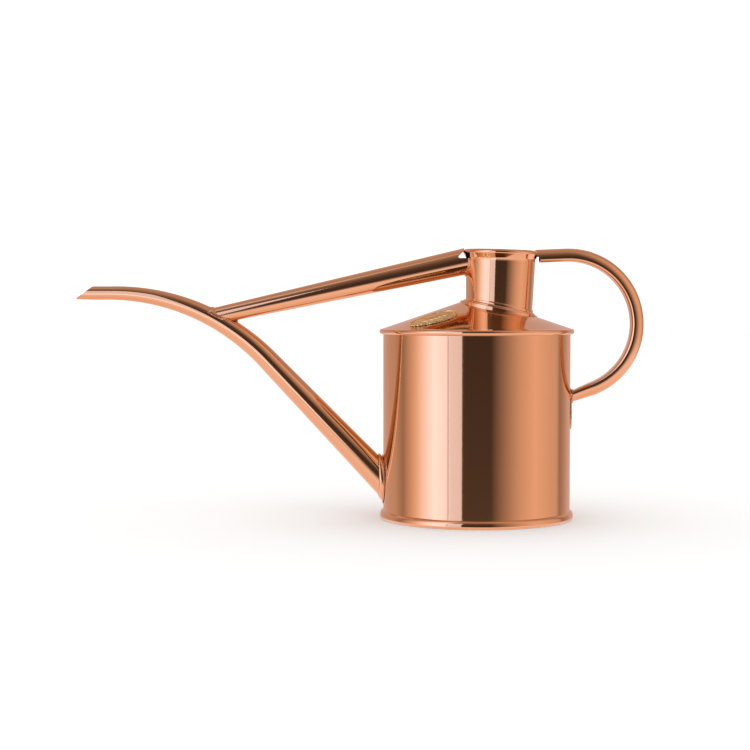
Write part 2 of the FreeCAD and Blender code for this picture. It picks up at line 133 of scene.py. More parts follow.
class Graph:
    """The node tree of one material or world."""

    def __init__(self, tree: bpy.types.NodeTree) -> None:
        """Empty the tree and hold it."""
        self.tree = tree
        tree.nodes.clear()

    def node(self, kind: str, settings: dict | None = None, inputs: dict | None = None,
             output: int | str = 0) -> Sock:
        """Add a node, set it up, then fill its sockets.

        Args:
            kind: the node's type.
            settings: its properties; "stops" fills a colour ramp.
            inputs: values or sockets by input name or index.
            output: the output that is wanted.

        Returns:
            The wanted output.
        """
        made = self.tree.nodes.new(kind)
        for key, value in (settings or {}).items():
            if key == "stops":
                self._fill_ramp(made.color_ramp, value)
            else:
                setattr(made, key, value)
        for key, value in (inputs or {}).items():
            if isinstance(value, Sock):
                self.tree.links.new(value.socket, made.inputs[key])
            else:
                made.inputs[key].default_value = value
        return Sock(self, made.outputs[output] if len(made.outputs) else None)

    @staticmethod
    def _fill_ramp(ramp: bpy.types.ColorRamp, stops: Sequence[tuple[float, float]]) -> None:
        """Set a ramp's stops.

        Args:
            ramp: the colour ramp.
            stops: (position, grey level) pairs.
        """
        while len(ramp.elements) < len(stops):
            ramp.elements.new(1.0)
        for element, (position, level) in zip(ramp.elements, stops):
            element.position = position
            element.color = (level, level, level, 1.0)

    def ramp(self, value: Sock, stops: Sequence[tuple[float, float]]) -> Sock:
        """Grey ramp over a value."""
        return self.node("ShaderNodeValToRGB", {"stops": stops}, {0: value})

    def noise(self, place: Sock, scale: float, detail: float = 3.0, rough: float = 0.5) -> Sock:
        """Grey noise over a place."""
        return self.node("ShaderNodeTexNoise", {}, {"Vector": place, "Scale": scale,
                                                    "Detail": detail, "Roughness": rough})

    def stretched(self, place: Sock, scale: Sequence[float]) -> Sock:
        """A place with each axis scaled, for streaks."""
        return self.node("ShaderNodeMapping", {}, {"Vector": place, "Scale": scale})

    def blend(self, factor: Sock, first: object, second: object) -> Sock:
        """Mix two colours.

        Args:
            factor: share of the second colour.
            first: colour or socket.
            second: colour or socket.

        Returns:
            The mixed colour.
        """
        first = first if isinstance(first, Sock) else (*first, 1.0)
        second = second if isinstance(second, Sock) else (*second, 1.0)
        return self.node("ShaderNodeMix", {"data_type": "RGBA"}, {0: factor, 6: first, 7: second}, 2)

    def tinted(self, colour: Sock, tint: Sock) -> Sock:
        """Multiply two colours."""
        return self.node("ShaderNodeMix", {"data_type": "RGBA", "blend_type": "MULTIPLY"},
                         {0: 1.0, 6: colour, 7: tint}, 2)


# ---- finishes --------------------------------------------------------------------------------


@dataclass(frozen=True)
class MetalFinish:
    """A metal surface with tone clouds, fine polishing lines and a slight hand-worked wave."""

    name: str
    tone: Colour
    deep: Colour
    roughness: float = 0.05
    cloud_size: float = 16.0
    cloud_depth: float = 0.35
    line_depth: float = 0.012
    wave_height: float = 0.00002
    tarnish: float = 0.0

    def material(self) -> bpy.types.Material:
        """Build the node material.

        Returns:
            The material.
        """
        made = bpy.data.materials.new(self.name)
        made.use_nodes = True
        graph = Graph(made.node_tree)
        place = graph.node("ShaderNodeTexCoord", {}, {}, "Object")
        clouds = graph.noise(place, self.cloud_size, 4.0, 0.55)
        cloud_mask = graph.ramp(clouds, [(0.40, 0.0), (0.75, self.cloud_depth)])
        specks = graph.ramp(graph.noise(place, 420.0, 2.0, 0.6), [(0.62, 0.0), (0.80, self.tarnish)])
        base = graph.blend(cloud_mask, self.tone, self.deep)
        base = graph.blend(specks, base, tuple(0.55 * c for c in self.deep))
        lines = graph.noise(graph.stretched(place, (60.0, 60.0, 900.0)), 1.0, 3.0, 0.7)
        smear = graph.noise(place, 55.0, 3.0, 0.6)
        rough = self.roughness + self.line_depth * lines + 0.6 * self.roughness * smear
        rough = rough + 0.25 * specks
        wave = graph.noise(place, 26.0, 1.0, 0.4)
        height = wave * self.wave_height + lines * 2.0e-7
        bump = graph.node("ShaderNodeBump", {}, {"Strength": 1.0, "Distance": 1.0, "Height": height})
        shader = graph.node("ShaderNodeBsdfPrincipled", {}, {
            "Base Color": base, "Metallic": 1.0, "Roughness": rough, "Normal": bump})
        graph.node("ShaderNodeOutputMaterial", {}, {"Surface": shader})
        return made


@dataclass(frozen=True)
class FloorFinish:
    """Matt pale studio floor."""

    name: str = "pale_floor"
    tone: Colour = (0.95, 0.95, 0.945)

    def material(self) -> bpy.types.Material:
        """Build the node material.

        Returns:
            The material.
        """
        made = bpy.data.materials.new(self.name)
        made.use_nodes = True
        graph = Graph(made.node_tree)
        place = graph.node("ShaderNodeTexCoord", {}, {}, "Object")
        grain = graph.ramp(graph.noise(place, 9.0, 3.0), [(0.3, 0.0), (0.8, 0.3)])
        base = graph.blend(grain, self.tone, tuple(0.985 * c for c in self.tone))
        shader = graph.node("ShaderNodeBsdfPrincipled", {}, {"Base Color": base, "Roughness": 0.9})
        graph.node("ShaderNodeOutputMaterial", {}, {"Surface": shader})
        return made


class Finish(Enum):
    """The can's finishes."""

    COPPER = MetalFinish("polished_copper", (0.81, 0.48, 0.25), (0.765, 0.433, 0.21))
    PLATED_SOLDER = MetalFinish("plated_solder", (0.83, 0.48, 0.26), (0.72, 0.38, 0.18), 0.10,
                                cloud_size=90.0, wave_height=0.00003, tarnish=0.2)
    TIN_SOLDER = MetalFinish("tin_solder", (0.62, 0.61, 0.58), (0.40, 0.39, 0.37), 0.35,
                             cloud_size=120.0, wave_height=0.0001, tarnish=0.5)
    BRASS = MetalFinish("satin_brass", (0.96, 0.72, 0.34), (0.74, 0.47, 0.16), 0.30,
                        cloud_size=130.0, wave_height=0.00003, tarnish=0.45)
    WIRE = MetalFinish("rim_wire", (0.60, 0.60, 0.60), (0.42, 0.42, 0.42), 0.3)

    def __init__(self, finish: MetalFinish) -> None:
        """Hold the finish; its material is made on first use."""
        self.finish = finish
        self.made = None

    def material(self) -> bpy.types.Material:
        """Make the finish's material on first use, and keep it.

        Returns:
            The finish's one material.
        """
        if self.made is None:
            self.made = self.finish.material()
        return self.made


# ---- modelling tools -------------------------------------------------------------------------


def deselect() -> None:
    """Leave object mode with nothing selected."""
    if bpy.context.object is not None and bpy.context.object.mode != "OBJECT":
        bpy.ops.object.mode_set(mode="OBJECT")
    bpy.ops.object.select_all(action="DESELECT")


def activate(piece: bpy.types.Object) -> None:
    """Select one piece and nothing else.

    Args:
        piece: the piece.
    """
    deselect()
    piece.select_set(True)
    bpy.context.view_layer.objects.active = piece


def edit_all(piece: bpy.types.Object) -> None:
    """Go into edit mode on one piece with all of it selected.

    Args:
        piece: the piece.
    """
    activate(piece)
    bpy.ops.object.mode_set(mode="EDIT")
    bpy.ops.mesh.select_all(action="SELECT")


def named_primitive(name: str) -> bpy.types.Object:
    """Name the primitive just added and put its place into its mesh.

    Args:
        name: the piece's name.

    Returns:
        The piece.
    """
    piece = bpy.context.object
    piece.name = name
    bpy.ops.object.transform_apply(location=True, rotation=True, scale=True)
    return piece


def spread(points: Sequence[Point], step: float) -> list[Point]:
    """Put extra points on long straight stretches of a profile.

    Args:
        points: the profile, in millimetres.
        step: the longest stretch that is left.

    Returns:
        The profile with points no further apart than step.
    """
    result = [points[0]]
    for (r1, z1), (r2, z2) in zip(points, points[1:]):
        count = max(1, math.ceil(math.hypot(r2 - r1, z2 - z1) / step))
        result += [(r1 + (r2 - r1) * i / count, z1 + (z2 - z1) * i / count) for i in range(1, count + 1)]
    return result


def arc_through(first: Point, middle: Point, last: Point, steps: int = 8) -> list[Point]:
    """Points of the arc through three points, from the second point on.

    Args:
        first: where the arc starts.
        middle: a point that it passes.
        last: where it ends.
        steps: how many points are returned.

    Returns:
        The points after the first.
    """
    (ax, az), (bx, bz), (cx, cz) = first, middle, last
    d = 2 * (ax * (bz - cz) + bx * (cz - az) + cx * (az - bz))
    ux = ((ax**2 + az**2) * (bz - cz) + (bx**2 + bz**2) * (cz - az) + (cx**2 + cz**2) * (az - bz)) / d
    uz = ((ax**2 + az**2) * (cx - bx) + (bx**2 + bz**2) * (ax - cx) + (cx**2 + cz**2) * (bx - ax)) / d
    radius = math.hypot(ax - ux, az - uz)
    start = math.atan2(az - uz, ax - ux)
    mid = (math.atan2(bz - uz, bx - ux) - start) % math.tau
    sweep = (math.atan2(cz - uz, cx - ux) - start) % math.tau
    if mid > sweep:
        sweep -= math.tau
    angles = [start + sweep * i / steps for i in range(1, steps + 1)]
    return [(ux + radius * math.cos(angle), uz + radius * math.sin(angle)) for angle in angles]


def turned(name: str, profile: Sequence[Point], segments: int = 192, solid: bool = True) -> bpy.types.Object:
    """Turn a profile about Z, ring by ring, as on a lathe.

    Args:
        name: the piece's name.
        profile: (radius, height) points in millimetres.
        segments: faces round the piece.
        solid: join the last ring to the first; otherwise both ends are filled.

    Returns:
        The piece.
    """
    rings = list(profile) + ([profile[0]] if solid else [])
    deselect()
    bpy.ops.mesh.primitive_circle_add(vertices=segments, radius=rings[0][0] * MM,
                                      location=(0, 0, rings[0][1] * MM))
    piece = named_primitive(name)
    edit_all(piece)
    for (r1, z1), (r2, z2) in zip(rings, rings[1:]):
        bpy.ops.mesh.extrude_region_move(TRANSFORM_OT_translate={"value": (0, 0, (z2 - z1) * MM)})
        bpy.ops.transform.resize(value=(r2 / r1, r2 / r1, 1), center_override=(0, 0, z2 * MM))
    bpy.ops.mesh.select_all(action="SELECT")
    if solid:
        bpy.ops.mesh.remove_doubles(threshold=0.001 * MM)
    else:
        bpy.ops.mesh.fill_holes(sides=0)
    bpy.ops.mesh.select_all(action="SELECT")
    bpy.ops.mesh.normals_make_consistent(inside=False)
    bpy.ops.object.mode_set(mode="OBJECT")
    return piece


def leaned(piece: bpy.types.Object, foot: Point, lean: float) -> bpy.types.Object:
    """Lean a turned piece towards +X and stand it on a point of the XZ plane.

    Args:
        piece: the piece, turned about Z.
        foot: (x, z) of its foot, in millimetres.
        lean: degrees from upright.

    Returns:
        The same piece.
    """
    activate(piece)
    piece.rotation_euler = (0, math.radians(lean), 0)
    piece.location = (foot[0] * MM, 0, foot[1] * MM)
    bpy.ops.object.transform_apply(location=True, rotation=True, scale=True)
    return piece


@dataclass(frozen=True)
class Station:
    """One cross-section on a tube's line, in millimetres and degrees above +X."""

    x: float
    z: float
    heading: float
    size: float


def swept(piece: bpy.types.Object, stations: Sequence[Station]) -> bpy.types.Object:
    """Draw a flat ring out along a line, turning and scaling it at each station.

    Args:
        piece: a ring of edges about Z, at the first station's size.
        stations: the line.

    Returns:
        The same piece, as an open tube.
    """
    first = stations[0]
    leaned(piece, (first.x, first.z), 90 - first.heading)
    edit_all(piece)
    for here, there in zip(stations, stations[1:]):
        centre = (there.x * MM, 0, there.z * MM)
        bpy.ops.mesh.extrude_region_move(
            TRANSFORM_OT_translate={"value": ((there.x - here.x) * MM, 0, (there.z - here.z) * MM)})
        if there.heading != here.heading:
            bpy.ops.transform.rotate(value=math.radians(there.heading - here.heading), orient_axis="Y",
                                     center_override=centre)
        if there.size != here.size:
            bpy.ops.transform.resize(value=(there.size / here.size,) * 3, center_override=centre)
    bpy.ops.mesh.select_all(action="SELECT")
    bpy.ops.mesh.normals_make_consistent(inside=False)
    bpy.ops.object.mode_set(mode="OBJECT")
    return piece


def round_ring(name: str, radius: float, segments: int = 72) -> bpy.types.Object:
    """Flat round ring of edges about Z.

    Args:
        name: the ring's name.
        radius: its radius, in millimetres.
        segments: edges round it.

    Returns:
        The ring.
    """
    deselect()
    bpy.ops.mesh.primitive_circle_add(vertices=segments, radius=radius * MM)
    return named_primitive(name)


def apply_modifier(piece: bpy.types.Object, kind: str, **settings: object) -> None:
    """Add a modifier with its settings and apply it.

    Args:
        piece: the piece.
        kind: the modifier's type.
        settings: its properties.
    """
    activate(piece)
    modifier = piece.modifiers.new(kind.lower(), kind)
    for key, value in settings.items():
        setattr(modifier, key, value)
    bpy.ops.object.modifier_apply(modifier=modifier.name)


def thicken(piece: bpy.types.Object, thickness: float) -> None:
    """Give a tube its wall, inwards, in millimetres."""
    apply_modifier(piece, "SOLIDIFY", thickness=thickness * MM, offset=-1.0, use_even_offset=True)


def filled(piece: bpy.types.Object) -> bpy.types.Object:
    """Close a tube's two ends.

    Args:
        piece: the open tube.

    Returns:
        The same piece.
    """
    edit_all(piece)
    bpy.ops.mesh.fill_holes(sides=0)
    bpy.ops.mesh.select_all(action="SELECT")
    bpy.ops.mesh.normals_make_consistent(inside=False)
    bpy.ops.object.mode_set(mode="OBJECT")
    return piece


def carve(piece: bpy.types.Object, *cutters: bpy.types.Object) -> None:
    """Cut other solids out of a piece."""
    for cutter in cutters:
        apply_modifier(piece, "BOOLEAN", object=cutter, operation="DIFFERENCE", solver="EXACT")


def discard(*pieces: bpy.types.Object) -> None:
    """Remove pieces that were only for cutting.

    Args:
        pieces: the cutters.
    """
    for piece in pieces:
        mesh = piece.data
        bpy.data.objects.remove(piece)
        bpy.data.meshes.remove(mesh)


def block(name: str, low: Sequence[float], high: Sequence[float]) -> bpy.types.Object:
    """Box between two corners, for cutting.

    Args:
        name: the box's name.
        low: its lowest corner, in millimetres.
        high: its highest corner, in millimetres.

    Returns:
        The box.
    """
    deselect()
    centre = [(a + b) / 2 * MM for a, b in zip(low, high)]
    bpy.ops.mesh.primitive_cube_add(size=1.0, location=centre)
    bpy.context.object.scale = [(b - a) * MM for a, b in zip(low, high)]
    return named_primitive(name)


def sliced(piece: bpy.types.Object, point: Sequence[float], normal: Sequence[float]) -> None:
    """Cut off what lies beyond a plane.

    Args:
        piece: the piece.
        point: a point of the plane, in millimetres.
        normal: the direction in which everything is cut off.
    """
    edit_all(piece)
    bpy.ops.mesh.bisect(plane_co=[c * MM for c in point], plane_no=normal, clear_outer=True)
    bpy.ops.object.mode_set(mode="OBJECT")


def smooth(piece: bpy.types.Object, angle: float = 32.0) -> None:
    """Shade smooth, with edges sharper than the angle left crisp."""
    activate(piece)
    bpy.ops.object.shade_smooth_by_angle(angle=math.radians(angle))


def settle(piece: bpy.types.Object, finish: Finish, slot: str, *nodes: str) -> bpy.types.Object:
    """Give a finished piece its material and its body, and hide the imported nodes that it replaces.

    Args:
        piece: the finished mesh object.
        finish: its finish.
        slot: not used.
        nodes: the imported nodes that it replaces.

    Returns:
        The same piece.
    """
    piece.data.materials.clear()
    piece.data.materials.append(finish.material())
    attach(piece, "root")
    if nodes:
        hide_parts(*nodes)
    LOG.info("%s: %d faces, %s", piece.name, len(piece.data.polygons), finish.name)
    return piece


def merged_copy(node: str, name: str, angle: float = 32.0) -> bpy.types.Object:
    """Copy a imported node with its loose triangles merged, so it can be shaded smooth.

    Args:
        node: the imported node.
        name: the new piece's name.
        angle: edges sharper than this stay crisp, in degrees.

    Returns:
        The new piece.
    """
    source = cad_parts[node]
    piece = bpy.data.objects.new(name, source.data.copy())
    bpy.context.scene.collection.objects.link(piece)
    edit_all(piece)
    bpy.ops.mesh.remove_doubles(threshold=0.002 * MM)
    smooth(piece, angle)
    return piece


# ---- the can ---------------------------------------------------------------------------------


@dataclass
class Body:
    """Rolled wall, seamed bottom and seamed conical shoulder. Sizes are in millimetres."""

    sheet: float = 0.7
    radius: float = side("body_seam_solder", "x") + sheet
    wall_low: float = 1.8
    wall_high: float = 113.4
    seam_r: float = 58.5
    seam_high: float = side("base_disc", "z")
    land_r: float = 56.9
    recess: float = 3.4
    top_seam_r: float = side("shoulder_cone", "x")
    top_seam_low: float = 111.6
    edge_z: float = 115.0
    slope: float = 0.34

    @property
    def apex(self) -> float:
        """Height at which the shoulder's lines would meet."""
        return self.edge_z + self.slope * self.radius

    def height_at(self, r: float) -> float:
        """Height of the shoulder's outside at a radius."""
        return self.apex - self.slope * r

    def wall(self, spout: bpy.types.Object) -> None:
        """Roll the wall and pierce it for the spout.

        Args:
            spout: the filled spout, as the cutter.
        """
        inner = self.radius - self.sheet
        outline = spread([(self.radius, self.wall_low), (self.radius, self.wall_high)], 3.5)
        outline += spread([(inner, self.wall_high), (inner, self.wall_low)], 3.5)
        piece = turned("body_wall", outline, ROUND)
        carve(piece, spout)
        smooth(piece)
        settle(piece, Finish.COPPER, "copper", "body_shell")

    def base(self) -> None:
        """Turn the recessed bottom with its folded seam."""
        inner = self.radius - self.sheet
        land_in = inner - 1.1
        seam = self.seam_r
        outline = spread([(0.5, self.recess), (land_in - 0.9, self.recess)], 7.0)
        outline += arc_through((land_in - 0.9, self.recess), (land_in - 0.6, 1.0), (land_in, 0.0))
        outline += [(self.land_r, 0.0)]
        outline += arc_through((self.land_r, 0.0), (seam - 0.25, 0.75), (seam, 2.3))
        outline += arc_through((seam, 2.3), (seam - 0.35, 3.7), (self.radius, self.seam_high))
        outline += [(self.radius - 0.1, self.seam_high - 0.5), (inner, self.recess + self.sheet)]
        outline += spread([(inner, self.recess + self.sheet), (0.5, self.recess + self.sheet)], 7.0)[1:]
        piece = turned("base", outline, ROUND, solid=False)
        smooth(piece)
        settle(piece, Finish.COPPER, "copper", "base_disc")

    def shoulder(self, neck: bpy.types.Object) -> None:
        """Turn the conical shoulder with its folded seam and pierce it for the neck.

        Args:
            neck: the filled neck, as the cutter.
        """
        inner = self.radius - self.sheet
        drop = self.sheet * math.hypot(1, self.slope)
        seam = self.top_seam_r
        mid = self.top_seam_low + 1.75
        blend = (seam - 1.3, self.height_at(seam - 1.3))
        outline = spread([(0.5, self.height_at(0.5)), blend], 2.5)
        outline += arc_through(blend, (seam - 0.25, mid + 0.85), (seam, mid))
        outline += arc_through((seam, mid), (seam - 0.6, self.top_seam_low + 0.35),
                               (self.radius, self.top_seam_low))
        outline += [(self.radius - 0.05, self.top_seam_low + 0.8), (inner, self.wall_high)]
        outline += spread([(inner, self.height_at(inner) - drop), (0.5, self.height_at(0.5) - drop)], 2.5)
        piece = turned("shoulder", outline, ROUND, solid=False)
        carve(piece, neck)
        smooth(piece)
        settle(piece, Finish.COPPER, "copper", "shoulder_cone")

    def mass(self) -> bpy.types.Object:
        """Everything under the shoulder's outside, for cutting what stands on it."""
        outline = [(0.3, 60.0), (70.0, 60.0), (70.0, self.height_at(70.0)), (0.3, self.height_at(0.3))]
        return turned("under_shoulder", outline, ROUND, solid=False)


@dataclass
class Neck:
    """Leaning filler neck with its rolled rim and the collar round its foot."""

    foot: Point = (13.5, 127.0)
    lean: float = 1.8
    foot_r: float = 20.15
    top_r: float = 20.9
    below: float = -8.0
    sheet: float = 0.7
    rim_low: float = 29.9
    rim_edge: float = 33.5
    rim_top: float = 35.3
    rim_r: float = side("neck_tube", "y")
    collar_foot: Point = (13.15, 125.9)
    collar_tilt: float = 11.6
    collar_r: float = side("neck_collar", "y")

    def outside(self) -> list[Point]:
        """Outer profile from the lower end up to the rim's crown.

        Returns:
            The profile's (radius, height) points.
        """
        low_r = self.foot_r + self.below * (self.top_r - self.foot_r) / self.rim_low
        under = (self.rim_r - 0.35, self.rim_edge - 0.9)
        shoulder = (self.rim_r - 0.55, self.rim_top - 0.6)
        crown = (self.rim_r - 1.6, self.rim_top)
        line = spread([(low_r, self.below), (self.top_r, self.rim_low)], 2.0)
        line += arc_through((self.top_r, self.rim_low), (self.rim_r - 1.2, self.rim_low + 1.25), under)
        line += arc_through(under, (self.rim_r, self.rim_edge), shoulder)
        line += arc_through(shoulder, (self.rim_r - 1.0, self.rim_top - 0.17), crown)
        return line

    def plug(self) -> bpy.types.Object:
        """The neck with its bore filled, for cutting what meets it.

        Returns:
            The filled neck.
        """
        outline = self.outside() + [(0.4, self.rim_top)]
        outline = [(0.4, self.below)] + outline
        return leaned(turned("neck_plug", outline, 192, solid=False), self.foot, self.lean)

    def tube(self) -> None:
        """Turn the neck and its rolled rim."""
        bore = self.top_r - self.sheet
        low_bore = self.foot_r + self.below * (self.top_r - self.foot_r) / self.rim_low - self.sheet
        outline = self.outside()
        outline += arc_through(outline[-1], (bore + 0.25, self.rim_top - 0.2), (bore, self.rim_top - 0.9))
        lip, waist = (bore, self.rim_top - 0.9), (bore, self.rim_low - 0.8)
        outline += spread([lip, waist, (low_bore, self.below)], 2.5)[1:]
        piece = leaned(turned("filler_neck", outline, ROUND), self.foot, self.lean)
        smooth(piece)
        settle(piece, Finish.COPPER, "copper", "neck_tube")

    def collar(self, plug: bpy.types.Object, mass: bpy.types.Object) -> None:
        """Turn the moulded collar and trim it to the neck and the shoulder.

        Args:
            plug: the filled neck, as a cutter.
            mass: all that is under the shoulder, as a cutter.
        """
        edge = self.collar_r
        step = edge - 1.5
        outline = [(17.0, -4.0), (edge, -4.0), (edge, 0.75)]
        outline += arc_through((edge, 0.75), (edge - 0.2, 1.3), (edge - 0.75, 1.5))
        outline += [(step, 1.5)]
        outline += arc_through((step, 1.5), (step - 0.15, 1.95), (step - 1.5, 2.5))
        outline += arc_through((step - 1.5, 2.5), (20.75, 3.2), (20.35, 4.3))
        outline += [(17.0, 4.3)]
        piece = leaned(turned("neck_collar_ring", outline, 192), self.collar_foot, self.collar_tilt)
        carve(piece, plug, mass)
        smooth(piece)
        settle(piece, Finish.COPPER, "copper", "neck_collar")


@dataclass
class Spout:
    """Tapered spout: straight run, one bend and a level tip with a slanted mouth."""

    angle: float = 46.2
    bend_r: float = 130.0
    corner_x: float = -165.3
    root_x: float = -50.0
    tip_z: float = 136.3
    tip_r: float = 4.1
    tip_tube: tuple[float, float] = (-233.0, -222.0)
    end_x: float = -242.4
    end_r: float = 3.8
    mouth_slope: float = 38.0
    root_r: float = 8.5
    wall: float = 0.7
    body_r: float = Body.radius

    def line(self) -> list[Station]:
        """Stations from inside the body to past the mouth.

        Returns:
            The stations, in order.
        """
        half = math.radians(self.angle / 2)
        reach = self.bend_r * math.tan(half)
        centre_x, centre_z = self.corner_x - reach, self.tip_z - self.bend_r
        slope = math.radians(self.angle)
        low_x = centre_x + self.bend_r * math.sin(slope)
        low_z = centre_z + self.bend_r * math.cos(slope)
        run = (self.root_x - low_x) / math.cos(slope)
        inside = (self.body_r + self.root_x) / math.cos(slope)
        bend = self.bend_r * slope
        fall = (self.root_r - self.tip_r) / (run - inside + bend + centre_x - self.tip_tube[1])
        heading = 180.0 - self.angle
        made = []
        for i in range(31):
            far = run * i / 30
            made.append(Station(self.root_x - far * math.cos(slope), low_z - (run - far) * math.sin(slope),
                                heading, self.root_r - fall * (far - inside)))
        for i in range(1, 57):
            turn = slope * (1 - i / 56)
            x, z = centre_x + self.bend_r * math.sin(turn), centre_z + self.bend_r * math.cos(turn)
            size = self.root_r - fall * (run - inside + bend * i / 56)
            made.append(Station(x, z, 180.0 - math.degrees(turn), size))
        halfway = sum(self.tip_tube) / 2
        for x, r in ((self.tip_tube[1], self.tip_r), (halfway, self.tip_r), (self.tip_tube[0], self.tip_r),
                     (-238.0, self.tip_r - 0.16), (self.end_x - 1.0, self.end_r)):
            made.append(Station(x, self.tip_z, 180.0, r))
        return made

    def solid(self) -> bpy.types.Object:
        """The spout with its bore filled, for cutting what it passes through."""
        stations = self.line()
        return filled(swept(round_ring("spout_solid", stations[0].size), stations))

    def bead(self, name: str, low: float, high: float, reach: float) -> bpy.types.Object:
        """Rounded bead round the spout's root, lying on the wall.

        Args:
            name: the piece's name.
            low: how far its inside stands off the spout.
            high: how far its crown does.
            reach: how far it stands off the wall.

        Returns:
            The bead.
        """
        deselect()
        bpy.ops.mesh.primitive_torus_add(major_segments=120, minor_segments=24, major_radius=10 * MM,
                                         minor_radius=MM)
        piece = named_primitive(name)
        slope = math.radians(self.angle)
        root = self.line()[0]
        for vertex in piece.data.vertices:
            x, y, z = (c / MM for c in vertex.co)
            off = self.root_r + low + (high - low) * max(0.0, math.hypot(x, y) - 10)
            around = math.atan2(y, x)
            side = off * math.sin(around)
            out = -math.sqrt(self.body_r**2 - side**2) - reach * (1 + z) / 2
            height = root.z - (out - root.x) * math.tan(slope) + off * math.cos(around) / math.cos(slope)
            vertex.co = (out * MM, side * MM, height * MM)
        edit_all(piece)
        bpy.ops.mesh.normals_make_consistent(inside=False)
        smooth(piece, 60.0)
        return piece

    def trim(self) -> None:
        """Fit the collar and its run of solder where the spout leaves the wall."""
        settle(self.bead("spout_ring", 0.0, 1.0, 3.1), Finish.COPPER, "copper", "spout_collar")
        settle(self.bead("spout_run", 0.5, 2.0, 0.8), Finish.PLATED_SOLDER, "plated_solder", "spout_solder")

    def tube(self) -> None:
        """Draw the spout, cut its two ends and give it its wall."""
        stations = self.line()
        piece = swept(round_ring("spout", stations[0].size), stations)
        slope = math.radians(self.mouth_slope)
        sliced(piece, (self.end_x, 0, self.tip_z - self.end_r), (-math.sin(slope), 0, math.cos(slope)))
        sliced(piece, (0.35 - self.body_r, 0, 0), (1, 0, 0))
        thicken(piece, self.wall)
        smooth(piece)
        settle(piece, Finish.COPPER, "copper", "spout_tube")


@dataclass
class Brace:
    """Tapered tube from the spout up to the neck's rim, notched round the rim."""

    low: Point = (-144.6, 125.45)
    low_r: float = 5.33
    high: Point = (-10.15, 154.75)
    high_r: float = 7.96
    sheet: float = 0.7
    notch: tuple[Point, ...] = ((-11.6, 158.2), (-8.0, 161.6), (-6.6, 170.0), (20.0, 170.0), (20.0, 157.3),
                                (-10.9, 157.3))

    def notch_cutter(self) -> bpy.types.Object:
        """Prism that clears the rim.

        Returns:
            The cutter.
        """
        deselect()
        bpy.ops.mesh.primitive_circle_add(vertices=len(self.notch), radius=MM, rotation=(math.pi / 2, 0, 0),
                                          fill_type="NGON")
        piece = named_primitive("rim_notch")
        for vertex, (x, z) in zip(piece.data.vertices, self.notch):
            vertex.co = (x * MM, -0.02, z * MM)
        edit_all(piece)
        bpy.ops.mesh.extrude_region_move(TRANSFORM_OT_translate={"value": (0, 0.04, 0)})
        bpy.ops.mesh.select_all(action="SELECT")
        bpy.ops.mesh.normals_make_consistent(inside=False)
        bpy.ops.object.mode_set(mode="OBJECT")
        return piece

    def tube(self, spout: bpy.types.Object, plug: bpy.types.Object) -> None:
        """Draw the brace and fit both its ends.

        Args:
            spout: the filled spout, as a cutter.
            plug: the filled neck, as a cutter.
        """
        dx, dz = self.high[0] - self.low[0], self.high[1] - self.low[1]
        heading = math.degrees(math.atan2(dz, dx))
        shares = [-0.12 + 1.226 * i / 44 for i in range(45)]
        stations = [Station(self.low[0] + t * dx, self.low[1] + t * dz, heading,
                            self.low_r + t * (self.high_r - self.low_r)) for t in shares]
        piece = swept(round_ring("brace", stations[0].size), stations)
        thicken(piece, self.sheet)
        notch = self.notch_cutter()
        carve(piece, notch, plug, spout)
        discard(notch)
        smooth(piece)
        settle(piece, Finish.COPPER, "copper", "brace_tube")


